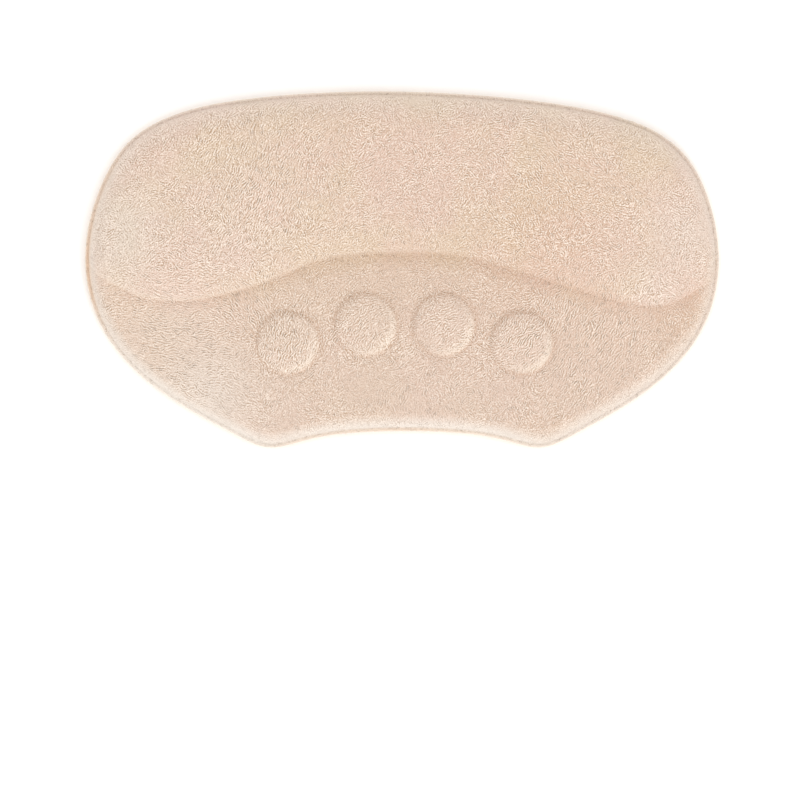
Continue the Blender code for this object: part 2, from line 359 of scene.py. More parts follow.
def face_height(points, inset, depth):
    """Height of the moulded face, or of a surface at this depth below it."""
    x, y = points[:, 0], points[:, 1]
    run = side_run(y)
    away = above_ledge(points)
    inner = inset - LIP_WIDTH
    from_rim = smoothstep(inner / (FADE_SHARE * run))
    hollow = fall_off(np.minimum(away, 0.0), HOLLOW_RUN)
    floor = RIM_HEIGHT - HOLLOW_DEPTH * hollow * from_rim
    climb = 1.0 - (1.0 - np.clip(inner / BULGE_RUN, 0.0, 1.0)) ** 2
    bulge = RIM_HEIGHT + (CROWN_HEIGHT - RIM_HEIGHT) * climb
    top = floor + (bulge - floor) * quarter_round(away / LEDGE_ROUND)
    reach = GROOVE_WIDTH * np.where(away < 0.0, 1.0, GROOVE_UPPER_SHARE)
    groove = ledge_at(x)[2] * fall_off(away, reach)
    top -= GROOVE_DEPTH * groove * from_rim
    for centre in bump_centres():
        top += bump_profile(np.hypot(x - centre[0], y - centre[1]))
    side = quarter_round((inner - depth) / run)
    return LIP_TOP - depth + (top - LIP_TOP) * side


# Layout of the fabric's fine surface: rows of points, by distance from the lines they follow

SIDE_ANGLES = np.linspace(0.0, np.pi / 2, 23)
LIP_ROWS = (0.05, 0.18, 0.38)
LEDGE_ROWS = (-0.44, -0.22, -0.05, 0.0, 0.05, 0.22, 0.46)
LEDGE_BAND = (-0.56, 0.60)
BUMP_ROWS = (-0.80, -0.56, -0.36, -0.20, -0.07, 0.05, 0.18, 0.34, 0.54)
BUMP_BAND = (-0.92, 0.64)
STEEP_SHARE = 0.3
RING_SLACK = 0.03
FIELD_MARGIN = 0.6
LEAST_GAP = 0.12


def on_steep_side(points, inset):
    return inset - LIP_WIDTH <= STEEP_SHARE * side_run(points[:, 1])


def near_ledge(points, inset):
    away = above_ledge(points)
    within = (away > LEDGE_BAND[0]) & (away < LEDGE_BAND[1])
    return within & ~on_steep_side(points, inset)


def near_bump(points):
    near = np.zeros(len(points), bool)
    for centre in bump_centres():
        away = np.hypot(*(points - centre).T) - BUMP_RADIUS
        near |= (away > BUMP_BAND[0]) & (away < BUMP_BAND[1])
    return near


def side_rows(edge, inwards):
    """Rings of points up the rounded side, evenly far apart along its curve."""
    run = side_run(edge[:, 1])[:, None]
    rows = []
    for angle in SIDE_ANGLES:
        nominal = LIP_WIDTH + run * (1.0 - np.cos(angle))
        row = edge + inwards * nominal
        inset = inset_from_edge(row)
        kept = (inset > nominal[:, 0] - RING_SLACK) & ~near_ledge(row, inset)
        rows.append(row[kept])
    return rows


def ledge_rows():
    """Rows of points on both sides of the ledge's line, as far as the steep side."""
    x = np.linspace(-HALF_WIDTH, HALF_WIDTH, int(PAD_WIDTH / FACE_STEP))
    height, slope, _ = ledge_at(x)
    square = np.stack([-slope, np.ones(len(x))], axis=1) / np.hypot(1.0, slope)[:, None]
    rows = []
    for away in LEDGE_ROWS:
        row = np.stack([x, height], axis=1) + square * away
        inset = inset_from_edge(row)
        rows.append(row[~on_steep_side(row, inset)])
    return rows


def bump_rows():
    """Rings of points round each bump's foot."""
    rows = []
    for centre in bump_centres():
        for away in BUMP_ROWS:
            radius = BUMP_RADIUS + away
            count = int(2 * np.pi * radius / FACE_STEP)
            turn = np.arange(count) * 2 * np.pi / count
            rows.append(centre + radius * np.stack([np.cos(turn), np.sin(turn)], axis=1))
    return rows


def field_points(step, least_inset):
    """An even field of points, each at least so far inside the outline."""
    ys = np.arange(-HALF_HEIGHT, HALF_HEIGHT, step * np.sqrt(3) / 2)
    xs = np.arange(-HALF_WIDTH, HALF_WIDTH, step)
    shift = np.where(np.arange(len(ys)) % 2, step / 2, 0.0)
    x = (xs[None, :] + shift[:, None]).ravel()
    field = np.column_stack([x, np.repeat(ys, len(xs))])
    inset = inset_from_edge(field)
    kept = inset > least_inset(field)
    return field[kept], inset[kept]


def joined_up(points, rim_count):
    """Triangles over the points, inside the ring that the first of them make."""
    made, _, triangles, _, _, _ = delaunay_2d_cdt(
        [Vector(p) for p in points], [], [list(range(rim_count))], 1, 1e-5
    )
    made = np.array([tuple(p) for p in made])
    return made, facing_up(made, triangles)


def fine_layout():
    """Points and triangles of the outer face, its rim, and the points' places inwards."""
    edge = even_edge(ALONG_EDGE)
    inwards = inwards_from(edge)
    rows = [edge] + [edge + inwards * width for width in LIP_ROWS]
    rows += side_rows(edge, inwards) + ledge_rows() + bump_rows()
    field, inset = field_points(
        FACE_STEP, lambda p: LIP_WIDTH + side_run(p[:, 1]) + FIELD_MARGIN * FACE_STEP
    )
    rows.append(field[~near_ledge(field, inset) & ~near_bump(field)])
    points = np.vstack(rows)
    height = face_height(points, inset_from_edge(points), 0.0)
    cell = np.round(np.column_stack([points, height]) / LEAST_GAP).astype(int)
    own_cells = 100000
    cell[: len(edge), 0] = np.arange(len(edge)) + own_cells
    _, first = np.unique(cell, axis=0, return_index=True)
    made, triangles = joined_up(points[np.sort(first)], len(edge))
    nearest = nearest_on_edge(made)
    inset = np.maximum(inset_from_edge(made, nearest), 0.0)
    inset[: len(edge)] = 0.0
    return made, triangles, list(range(len(edge))), inset, nearest


def facing_up(points, triangles):
    """The triangles, each turned so that it faces up."""
    t = np.array([tuple(x) for x in triangles])
    a, b, c = (points[t[:, k]] for k in range(3))
    turn = (b - a)[:, 0] * (c - a)[:, 1] - (b - a)[:, 1] * (c - a)[:, 0]
    t[turn < 0] = t[turn < 0][:, ::-1]
    return t


def vertex_normals(vertices, triangles):
    a, b, c = (vertices[triangles[:, k]] for k in range(3))
    face = np.cross(b - a, c - a)
    normals = np.zeros_like(vertices)
    for k in range(3):
        np.add.at(normals, triangles[:, k], face)
    return normals / np.linalg.norm(normals, axis=1)[:, None]


# Where the nap stands up boldly, above 0, or lies smooth, below 0. In every patch, x, y and
# reach are in millimetres.
BrushedPatch = namedtuple("BrushedPatch", "x y reach boldness")
BRUSHED = [
    BrushedPatch(-26.0, 13.0, 16.0, 1.0),
    BrushedPatch(22.0, 14.0, 16.0, 0.5),
    BrushedPatch(-37.0, -9.0, 10.0, 0.05),
    BrushedPatch(41.0, -10.0, 8.0, 0.2),
    BrushedPatch(-18.8, -12.2, 4.5, 2.2),
    BrushedPatch(-5.9, -9.2, 4.5, 1.6),
    BrushedPatch(7.0, -9.2, 4.5, 1.6),
    BrushedPatch(19.9, -12.2, 4.5, 1.6),
    BrushedPatch(0.0, -21.0, 18.0, -0.6),
    BrushedPatch(-23.0, -23.0, 7.0, -0.35),
    BrushedPatch(22.0, -23.0, 7.0, -0.35),
    BrushedPatch(0.0, -1.5, 11.0, -0.7),
    BrushedPatch(0.0, 28.5, 9.0, -0.2),
    BrushedPatch(30.0, -18.0, 9.0, -0.2),
]

# Patches of painted shade, then patches of painted light, besides the painted shade and light
# round the ledge, the bumps and the rounded side
DarkenedPatch = namedtuple("DarkenedPatch", "x y reach darkness")
DARKENED = [
    DarkenedPatch(46.0, -6.5, 4.6, 1.1),
    DarkenedPatch(18.0, -3.0, 6.0, 0.3),
    DarkenedPatch(24.0, -27.0, 5.0, 0.3),
    DarkenedPatch(24.0, 6.5, 10.5, 0.9),
]

# Patches of painted light, which lighten the cloth on the left flank
LitPatch = namedtuple("LitPatch", "x y reach wear")
LIT_PATCHES = [
    LitPatch(-43.5, -9.5, 10.0, 0.20),
]

# Tan lines on the lip, partly the lip's tan edge and partly painted shade of the side wall:
# middle and reach along the outline, half width, darkness
TanLine = namedtuple("TanLine", "x y reach width darkness")
TAN = [
    TanLine(0.0, -27.0, 12.0, 0.28, 0.6),
    TanLine(-16.0, -28.0, 8.0, 0.28, 0.25),
    TanLine(17.0, -28.0, 8.0, 0.28, 0.25),
    TanLine(-52.0, 0.0, 9.0, 0.40, 1.0),
    TanLine(-49.0, 14.0, 8.0, 0.45, 0.4),
]

# Patches of painted light, which lighten the cloth as on the rounded side
PalePatch = namedtuple("PalePatch", "x y reach paleness")
PALE = [
    PalePatch(-33.0, -20.5, 9.0, 0.65),
    PalePatch(-48.0, 6.0, 9.0, 0.60),
    PalePatch(-30.0, 4.0, 14.0, 0.15),
    PalePatch(42.0, -3.0, 5.0, 0.30),
    PalePatch(48.0, 6.0, 7.0, 0.40),
    PalePatch(-37.0, -11.0, 9.0, 0.30),
]

# Where the nap is combed one way, at an angle from X in degrees
CombedPlace = namedtuple("CombedPlace", "x y reach angle pull")
COMBED = [
    CombedPlace(31.0, -12.0, 10.0, 62.0, 4.0),
    CombedPlace(-37.0, -11.0, 10.5, -6.0, 3.5),
    CombedPlace(-25.7, -5.5, 4.0, 115.0, 4.0),
    CombedPlace(-18.8, -12.2, 4.8, 80.0, 4.0),
    CombedPlace(-5.9, -9.2, 4.0, 50.0, 2.0),
    CombedPlace(7.0, -9.2, 4.0, 20.0, 2.0),
    CombedPlace(19.9, -12.2, 4.0, 35.0, 2.0),
    CombedPlace(-23.0, 15.0, 12.0, 75.0, 2.5),
    CombedPlace(3.0, -26.0, 7.0, 90.0, 3.0),
    CombedPlace(26.0, 18.0, 8.0, 135.0, 1.5),
    CombedPlace(-30.0, -24.0, 6.0, 150.0, 2.0),
]

# Nap: short matted strokes that follow a wandering direction

NAP_CELL = 0.10
NAP_HALF = (64.0, 40.0)
NAP_SEED = 11
STROKE_WAVELENGTH = 0.66
STROKE_REACH = 8
PATCH_WAVELENGTH = 9.0
LUMP_WAVELENGTH = 6.0
STROKE_LIFT = 0.042
LUMP_LIFT = 0.010
STRENGTH_RANGE = (0.3, 1.6)
PATCH_MOST = 1.4
TOP_SIDE_REACH = 1.3


def nap_grid():
    xs = np.arange(-NAP_HALF[0], NAP_HALF[0], NAP_CELL)
    ys = np.arange(-NAP_HALF[1], NAP_HALF[1], NAP_CELL)
    return xs, ys


def band_noise(rng, shape, wavelength, width=0.5):
    """Noise of one wavelength in millimetres, with a mean of 0 and a spread of 1."""
    spectrum = np.fft.rfft2(rng.standard_normal(shape))
    fy = np.fft.fftfreq(shape[0], NAP_CELL)[:, None]
    fx = np.fft.rfftfreq(shape[1], NAP_CELL)[None, :]
    frequency = np.hypot(fx, fy) + 1e-9
    spectrum *= np.exp(-((np.log(frequency * wavelength) / width) ** 2) / 2) / frequency
    noise = np.fft.irfft2(spectrum, shape)
    return (noise - noise.mean()) / noise.std()


def combed(x, y):
    """Twice-angle components of the combed direction, and how far the nap follows it."""
    across, up = np.zeros_like(x), np.zeros_like(x)
    for place in COMBED:
        square = (x - place.x) ** 2 + (y - place.y) ** 2
        weight = place.pull * np.exp(-(square / place.reach**2))
        across += weight * np.cos(2 * np.radians(place.angle))
        up += weight * np.sin(2 * np.radians(place.angle))
    return across, up


def nap_field():
    """The strokes, their direction by its double angle, and two slower noises."""
    rng = np.random.default_rng(NAP_SEED)
    xs, ys = nap_grid()
    shape = (len(ys), len(xs))
    wander = 1.3 * band_noise(rng, shape, 22.0) + 0.8 * band_noise(rng, shape, 7.0)
    across, up = combed(*np.meshgrid(xs, ys))
    streaked = 0.45 + 0.50 * smoothstep(np.hypot(across, up) / 2.5)
    across += np.cos(2 * wander)
    up += np.sin(2 * wander)
    angle = 0.5 * np.arctan2(up, across) + 0.30 * band_noise(rng, shape, 1.8)
    source = band_noise(rng, shape, STROKE_WAVELENGTH, 0.35)
    column, row = np.meshgrid(np.arange(shape[1]), np.arange(shape[0]))
    total = source.copy()
    for sense in (1.0, -1.0):
        x, y = column.astype(float), row.astype(float)
        run, rise = sense * np.cos(angle), sense * np.sin(angle)
        for step in range(1, STROKE_REACH):
            x += run
            y += rise
            i = np.clip(np.round(y).astype(int), 0, shape[0] - 1)
            j = np.clip(np.round(x).astype(int), 0, shape[1] - 1)
            total += source[i, j] * (1.0 - step / STROKE_REACH)
            ahead, aside = np.cos(angle[i, j]), np.sin(angle[i, j])
            turn = np.where(run * ahead + rise * aside < 0.0, -1.0, 1.0)
            run, rise = ahead * turn, aside * turn
    total = streaked * total / total.std() + (1.0 - streaked) * source
    total /= total.std()
    patches = band_noise(rng, shape, PATCH_WAVELENGTH)
    lumps = band_noise(rng, shape, LUMP_WAVELENGTH)
    return total, (np.cos(2 * angle), np.sin(2 * angle)), patches, lumps


def sample(field, points):
    """The field's values at the points, blended between the grid's four nearest."""
    xs, ys = nap_grid()
    x = np.clip((points[:, 0] + NAP_HALF[0]) / NAP_CELL, 0, len(xs) - 1.001)
    y = np.clip((points[:, 1] + NAP_HALF[1]) / NAP_CELL, 0, len(ys) - 1.001)
    j, i = x.astype(int), y.astype(int)
    u, v = x - j, y - i
    return (
        field[i, j] * (1 - u) * (1 - v)
        + field[i, j + 1] * u * (1 - v)
        + field[i + 1, j] * (1 - u) * v
        + field[i + 1, j + 1] * u * v
    )


# Marks of the mould, painted shade and painted highlights, by distance in millimetres from the
# ledge or from a bump's foot
PRESSED_BAND = Band(-0.5, 1.3, -0.9)
GROOVE_SHADE = Band(-0.5, 0.9, 0.12)
HOLLOW_SHADE = 0.42
HOLLOW_SHADE_REACH = 13.0
BRINK_SHADE_REACH = 0.3
BRINK_BAND = Band(0.45, 0.42, 1.0)
BRINK_MIDDLE = 8.0
BRINK_RUN = 14.0
FOOT_SHADE = Band(0.20, 0.6, 0.06)
FOOT_LINE = Band(0.16, 0.24, 0.40)
FOOT_CLEAR = 0.6
BUMP_RIM = Band(-0.5, 0.85, 0.97)
BUMP_MIDDLE = 0.03
UPPER_LEFT = np.array([-0.6, 0.8])
LOWER_RIGHT = np.array([0.8, -0.6])


def patch_share(points, patch):
    """1 in the middle of a patch, fading out round it."""
    distance = np.hypot(points[:, 0] - patch.x, points[:, 1] - patch.y)
    return fall_off(distance, patch.reach)


def boldness(places):
    """How much bolder the nap is than usual: it is pressed smooth along the ledge."""
    total = along(above_ledge(places), PRESSED_BAND)
    for patch in BRUSHED:
        total += patch.boldness * patch_share(places, patch)
    return total


def round_bump(points, centre, way):
    """Distance out from a bump's foot, and how far towards one way round it, from 0 to 1."""
    offset = points - centre
    distance = np.hypot(*offset.T)
    turned = 0.5 + 0.5 * (offset @ way) / np.maximum(distance, 0.1)
    return distance - BUMP_RADIUS, turned


def painted_shade(points):
    """Painted shade on the cloth: under the ledge, in its groove, round the bumps' feet and in
    the darker patches.
    """
    away = above_ledge(points)
    groove = ledge_at(points[:, 0])[2]
    below = fall_off(away, np.where(away < 0.0, HOLLOW_SHADE_REACH, BRINK_SHADE_REACH))
    total = HOLLOW_SHADE * below + groove * along(away, GROOVE_SHADE)
    for centre in bump_centres():
        outwards, upper_left = round_bump(points, centre, UPPER_LEFT)
        total *= smoothstep((outwards + FOOT_CLEAR) / FOOT_CLEAR)
        total += upper_left * along(outwards, FOOT_SHADE) + along(outwards, FOOT_LINE)
    # Darker patches, added to the painted shade
    for patch in DARKENED:
        patch_side = above_ledge(np.array([[patch.x, patch.y]])) < 0.0
        same_side = (away < 0.0) == patch_side
        total += patch.darkness * patch_share(points, patch) * same_side
    return np.clip(total, 0.0, 1.0)


def brink_highlight(points):
    """1 on the ledge's upper brink, where a highlight is painted, and less to the right."""
    leftwards = 0.5 - 0.5 * np.tanh((points[:, 0] - BRINK_MIDDLE) / BRINK_RUN)
    return along(above_ledge(points), BRINK_BAND) * leftwards


def bump_highlight(points):
    """Painted highlight on the bumps, from 0 to 1: faint all over, most of all on the rim at the
    lower right, which faces the light.
    """
    total = np.zeros(len(points))
    for centre in bump_centres():
        outwards, lower_right = round_bump(points, centre, LOWER_RIGHT)
        inside = smoothstep((0.05 - outwards) / 0.22)
        total += inside * (BUMP_MIDDLE + along(outwards, BUMP_RIM) * lower_right**3)
    return total


def unrolled(points, inset, nearest):
    """Places on the flat cloth: the rounded side is laid out to its real length."""
    run = side_run(points[:, 1])
    inner = np.clip((inset - LIP_WIDTH) / run, 0.0, 1.0)
    angle = np.arccos(1.0 - inner)
    rise = 0.75 * (RIM_HEIGHT - LIP_TOP)
    length = np.sqrt((run * np.cos(angle / 2 + np.pi / 4)) ** 2 + rise**2)
    extra = (np.pi / 2 - angle) * length - run * (1.0 - inner)
    return points - EDGE_INWARDS[nearest] * np.maximum(extra, 0.0)[:, None]


# Pieces


def make_mesh(name, vertices, faces):
    mesh = bpy.data.meshes.new(name)
    mesh.from_pydata((np.asarray(vertices) / 1000.0).tolist(), [], faces)
    mesh.validate()
    mesh.update()
    mesh.shade_smooth()
    piece = bpy.data.objects.new(name, mesh)
    bpy.context.scene.collection.objects.link(piece)
    return piece


def walls(upper, lower):
    """Quads between two rings of vertices that run clockwise, facing out."""
    upper, lower = list(upper), list(lower)
    return [
        (a, b, j, i)
        for a, b, i, j in zip(upper, upper[1:] + upper[:1], lower, lower[1:] + lower[:1])
    ]


def coarse_layout(rim_row):
    """The rim's own points and a sparse field inside, for faces that don't show."""
    field, _ = field_points(COARSE_STEP, lambda p: COARSE_MARGIN)
    return joined_up(np.vstack([rim_row, field]), len(rim_row))


def level_row(edge, inwards, tuck, z):
    """A ring of points at one height, tucked in from the outline."""
    return np.column_stack([edge + inwards * tuck, np.full(len(edge), z)])


def cover_underside(points, inset):
    """Height of the cover's inner face, which starts at the bottom of its lip."""
    drop = LIP_TOP - COVER_WALL - COVER_BOTTOM
    return face_height(points, inset, COVER_WALL) - drop


Surface = namedtuple("Surface", "points triangles rim inset nearest cloth")
Nap = namedtuple("Nap", "strokes flow patches strength top_side")


def lifted_surface():
    """The cover's outer face with its nap raised, and what the nap is like there."""
    points, triangles, rim, inset, nearest = fine_layout()
    height = face_height(points, inset, 0.0)
    corner = np.clip(LIP_CORNER - inset, 0.0, LIP_CORNER)
    height -= LIP_CORNER - np.sqrt(LIP_CORNER**2 - corner**2)
    outer = np.column_stack([points, height])
    normals = vertex_normals(outer, triangles)

    strokes, flow, patches, lumps = nap_field()
    cloth = unrolled(points, inset, nearest)
    strokes = np.tanh(0.9 * sample(strokes, cloth))
    strokes = np.where(strokes < 0.0, 0.65 * strokes, 1.1 * strokes)
    top_side = fall_off(inset, TOP_SIDE_REACH) * np.clip(-EDGE_INWARDS[nearest, 1], 0.0, 1.0)
    strength = 0.9 + 0.2 * sample(patches, cloth) + 0.5 * boldness(cloth)
    strength = np.clip(strength, *STRENGTH_RANGE) * (1.0 - 0.6 * top_side)
    fade = 0.35 + 0.65 * smoothstep(inset / 1.6)
    lift = STROKE_LIFT * strokes * strength * fade + LUMP_LIFT * sample(lumps, cloth) * fade
    outer = outer + normals * lift[:, None]
    surface = Surface(points, triangles, rim, inset, nearest, cloth)
    return outer, surface, Nap(strokes, flow, patches, strength, top_side)


def cover_solid(outer, surface):
    """The outer face closed by the lip's rings and a face under it."""
    edge = surface.points[surface.rim]
    inwards = inwards_from(edge)
    size = len(edge)
    vertices = [outer]
    faces = surface.triangles.tolist()
    upper = list(surface.rim)
    start = len(outer)
    for ring in LIP_RINGS:
        vertices.append(level_row(edge, inwards, ring.tuck, ring.height))
        lower = list(range(start, start + size))
        faces += walls(upper, lower)
        upper = lower
        start += size
    points, triangles = coarse_layout(vertices[-1][:, :2])
    under = cover_underside(points, np.maximum(inset_from_edge(points), 0.0))
    number = np.arange(len(points)) + start - size
    vertices.append(np.column_stack([points, under])[size:])
    faces += number[triangles][:, ::-1].tolist()
    return np.vstack(vertices), faces


def paleness(place, surface):
    """Painted light on the rounded side, most where it faces down, and in the pale patches."""
    count = len(surface.points)
    run = side_run(surface.points[:, 1])
    facing = -EDGE_INWARDS[surface.nearest] @ np.array([-0.3, -0.95])
    pale = np.ones(len(place))
    pale[:count] = 1.0 - smoothstep((surface.inset - LIP_WIDTH) / (0.9 * run))
    pale[:count] *= 0.63 + 0.30 * facing
    for patch in PALE:
        pale = np.maximum(pale, patch.paleness * patch_share(place, patch))
    return pale


def tan_lines(surface):
    """How dark the tan lines along the lip are: partly the lip's tan edge, partly painted shade
    of the side wall.
    """
    total = np.zeros(len(surface.points))
    for line in TAN:
        across = fall_off(surface.inset - line.width, line.width)
        total += line.darkness * across * patch_share(surface.points, line)
    return np.clip(total, 0.0, 1.0)


def wear(points):
    """How strong the painted highlight is: on the bumps, on the ledge's brink and in the patches
    of painted light.
    """
    total = np.maximum(bump_highlight(points), 0.45 * brink_highlight(points))
    for patch in LIT_PATCHES:
        total += patch.wear * patch_share(points, patch)
    return total


def cover_marks(place, surface, nap):
    """Values at every vertex of the cover, which the material turns into colours."""
    count = len(surface.points)

    def on_face(values, elsewhere=0.0):
        whole = np.full(len(place), elsewhere)
        whole[:count] = values
        return whole

    patch = 0.5 + 0.12 * sample(nap.patches, place[:, :2]) + 0.35 * boldness(place)
    patch[:count] -= 0.45 * nap.top_side
    follow = np.hypot(*combed(place[:, 0], place[:, 1])) / 3.0
    # Painted light along the lip, most where it faces down and to the left
    lower_left = -EDGE_INWARDS[surface.nearest] @ np.array([-0.80, -0.60])
    pale_lip = fall_off(surface.inset, 1.5) * np.clip(lower_left, 0.0, 1.0)
    # Some of these paint light and shade into the colour: shade under the ledge and round the
    # bumps, light on the rounded side, the bumps, the brink and the lower-left lip, and partly
    # the tan lines and the nap
    return {
        "nap": on_face(nap.strokes * nap.strength),
        "lip": on_face(1.0 - smoothstep(surface.inset / 1.1), 1.0),
        "across": sample(nap.flow[0], place[:, :2]),
        "up": sample(nap.flow[1], place[:, :2]),
        "combed": np.clip(follow, 0.0, 1.0),
        "patch": np.clip(patch, 0.0, PATCH_MOST),
        "painted_shade": painted_shade(place[:, :2]),
        "rim": paleness(place, surface),
        "painted_highlight": on_face(wear(surface.points)),
        "pale_lip": on_face(pale_lip),
        "tan": on_face(tan_lines(surface)),
        "hollow": smoothstep(-above_ledge(place[:, :2]) / 4.0),
    }


def make_cover():
    outer, surface, nap = lifted_surface()
    vertices, faces = cover_solid(outer, surface)
    piece = make_mesh("suede_cover", vertices, faces)
    count = len(surface.points)
    place = np.array([v.co for v in piece.data.vertices]) * 1000.0
    place[:count, :2] = surface.cloth
    place[:count, 2] = 0.0
    for name, value in cover_marks(place, surface, nap).items():
        attribute = piece.data.attributes.new(name, "FLOAT", "POINT")
        attribute.data.foreach_set("value", value.astype(np.float32))
    attribute = piece.data.attributes.new("cloth", "FLOAT_VECTOR", "POINT")
    attribute.data.foreach_set("vector", place.astype(np.float32).ravel())
    return piece


def layered_solid(name, rows, top_height=None):
    """A closed solid from rings of points, top ring first, capped above and below."""
    size = len(rows[0])
    last = (len(rows) - 1) * size
    vertices, faces = list(rows), []
    for k in range(1, len(rows)):
        faces += walls(range((k - 1) * size, k * size), range(k * size, (k + 1) * size))
    start = len(rows) * size
    points, triangles = coarse_layout(rows[0][:, :2])
    z = np.full(len(points), rows[0][:, 2].mean())
    if top_height is not None:
        z = top_height(points, np.maximum(inset_from_edge(points), 0.0))
    number = np.concatenate([np.arange(size), np.arange(len(points) - size) + start])
    vertices.append(np.column_stack([points, z])[size:])
    faces += number[triangles].tolist()
    start += len(points) - size
    points, triangles = coarse_layout(rows[-1][:, :2])
    z = np.full(len(points), rows[-1][:, 2].mean())
    number = np.concatenate([np.arange(size) + last, np.arange(len(points) - size) + start])
    vertices.append(np.column_stack([points, z])[size:])
    faces += number[triangles][:, ::-1].tolist()
    return make_mesh(name, np.vstack(vertices), faces)


def make_foam():
    """The foam, with a waist and a rough cut edge."""
    edge = even_edge(COARSE_EDGE)
    inwards = inwards_from(edge)
    rng = np.random.default_rng(FOAM_SEED)
    rows = []
    for z in np.linspace(FOAM_TOP, FOAM_BOTTOM, FOAM_RING_COUNT):
        share = (z - FOAM_BOTTOM) / (FOAM_TOP - FOAM_BOTTOM)
        waist = FOAM_WAIST - FOAM_WAIST * np.sin(np.pi * share)
        rough = FOAM_ROUGHNESS * rng.standard_normal(len(edge))
        tuck = (FOAM_TUCK + waist + rough)[:, None]
        rows.append(level_row(edge, inwards, tuck, z))

    def top(points, inset):
        return cover_underside(points, inset) - (COVER_BOTTOM - FOAM_TOP)

    return layered_solid("foam_layer", rows, top)


def make_film():
    edge = even_edge(COARSE_EDGE)
    inwards = inwards_from(edge)
    rows = [level_row(edge, inwards, ring.tuck, ring.height) for ring in FILM_RINGS]
    return layered_solid("backing_film", rows)


# Materials


class Graph:
    """Adds nodes to a material and joins them."""

    def __init__(self, name):
        self.material = bpy.data.materials.new(name)
        self.material.use_nodes = True
        self.tree = self.material.node_tree
        self.shader = self.tree.nodes["Principled BSDF"]

    def node(self, kind, **settings):
        made = self.tree.nodes.new(kind)
        for key, value in settings.items():
            setattr(made, key, value)
        return made

    def link(self, source, target):
        self.tree.links.new(source, target)

    def math(self, operation, a, b):
        made = self.node("ShaderNodeMath", operation=operation)
        for socket, value in zip(made.inputs, (a, b)):
            if isinstance(value, (int, float)):
                socket.default_value = value
            else:
                self.link(value, socket)
        return made.outputs[0]

    def times(self, a, b):
        return self.math("MULTIPLY", a, b)

    def plus(self, a, b):
        return self.math("ADD", a, b)

    def mix(self, factor, a, b):
        made = self.node("ShaderNodeMix", data_type="RGBA")
        inputs = (made.inputs[0], made.inputs[6], made.inputs[7])
        for socket, value in zip(inputs, (factor, a, b)):
            if isinstance(value, (int, float)):
                socket.default_value = value
            elif isinstance(value, tuple):
                socket.default_value = (*value, 1.0)
            else:
                self.link(value, socket)
        return made.outputs[2]

    def places(self, scale=(1.0, 1.0, 1.0)):
        """Object coordinates in millimetres, stretched."""
        coordinates = self.node("ShaderNodeTexCoord").outputs["Object"]
        stretched = self.node("ShaderNodeMapping")
        stretched.inputs["Scale"].default_value = [1000.0 * s for s in scale]
        self.link(coordinates, stretched.inputs["Vector"])
        return stretched.outputs[0]

    def noise(self, places, scale, detail=2.0, roughness=0.5, distortion=0.0):
        made = self.node("ShaderNodeTexNoise")
        made.inputs["Scale"].default_value = scale
        made.inputs["Detail"].default_value = detail
        made.inputs["Roughness"].default_value = roughness
        made.inputs["Distortion"].default_value = distortion
        self.link(places, made.inputs["Vector"])
        return made.outputs["Fac"]

    def ramp(self, value, low, high, to_low=0.0, to_high=1.0, smooth=True):
        """One range of values mapped to another, level beyond its ends."""
        made = self.node("ShaderNodeMapRange")
        made.interpolation_type = "SMOOTHSTEP" if smooth else "LINEAR"
        made.inputs["From Min"].default_value = low
        made.inputs["From Max"].default_value = high
        made.inputs["To Min"].default_value = to_low
        made.inputs["To Max"].default_value = to_high
        self.link(value, made.inputs["Value"])
        return made.outputs["Result"]

    def attribute(self, name, output="Fac"):
        made = self.node("ShaderNodeAttribute", attribute_name=name)
        return made.outputs[output]

    def strokes(self, places, turn, scale, frequency, anisotropy):
        """Short parallel strokes that run along a direction, from 0 to 1."""
        made = self.node("ShaderNodeTexGabor")
        made.inputs["Scale"].default_value = scale
        made.inputs["Frequency"].default_value = frequency
        made.inputs["Anisotropy"].default_value = anisotropy
        self.link(places, made.inputs["Vector"])
        self.link(turn, made.inputs["Orientation"])
        return made.outputs["Value"]

    def warped(self, places, scale, amount):
        """The places, each pushed aside a little by a noise."""
        made = self.node("ShaderNodeTexNoise")
        made.inputs["Scale"].default_value = scale
        made.inputs["Detail"].default_value = 1.0
        self.link(places, made.inputs["Vector"])
        centred = self.node("ShaderNodeVectorMath", operation="SUBTRACT")
        self.link(made.outputs["Color"], centred.inputs[0])
        centred.inputs[1].default_value = (0.5, 0.5, 0.5)
        scaled = self.node("ShaderNodeVectorMath", operation="SCALE")
        self.link(centred.outputs[0], scaled.inputs[0])
        scaled.inputs["Scale"].default_value = amount
        moved = self.node("ShaderNodeVectorMath", operation="ADD")
        self.link(places, moved.inputs[0])
        self.link(scaled.outputs[0], moved.inputs[1])
        return moved.outputs[0]

    def complete(self, color, rough, height, distance, strength=1.0):
        """Joins the colour, the roughness and a bump to the shader."""
        made = self.node("ShaderNodeBump")
        made.inputs["Strength"].default_value = strength
        made.inputs["Distance"].default_value = distance
        self.link(height, made.inputs["Height"])
        self.link(color, self.shader.inputs["Base Color"])
        self.link(rough, self.shader.inputs["Roughness"])
        self.link(made.outputs["Normal"], self.shader.inputs["Normal"])
        return self.material


# Colours of the suede
BASE = (0.607, 0.459, 0.357)
PINK = (0.623, 0.451, 0.371)
SAND = (0.601, 0.465, 0.342)
FADED = (0.680, 0.539, 0.441)
HOLLOW = (0.591, 0.457, 0.375)
# Tint of the painted light on the rounded side and in the pale patches
SIDE_LIGHT_TINT = (0.680, 0.627, 0.572)
# Tint of the painted highlight on the bumps, the ledge's brink and the left flank
HIGHLIGHT_TINT = (0.720, 0.609, 0.508)
# Tint of the painted shade under the ledge, in its groove and round the bumps' feet
CREASE_SHADE = (0.545, 0.352, 0.222)
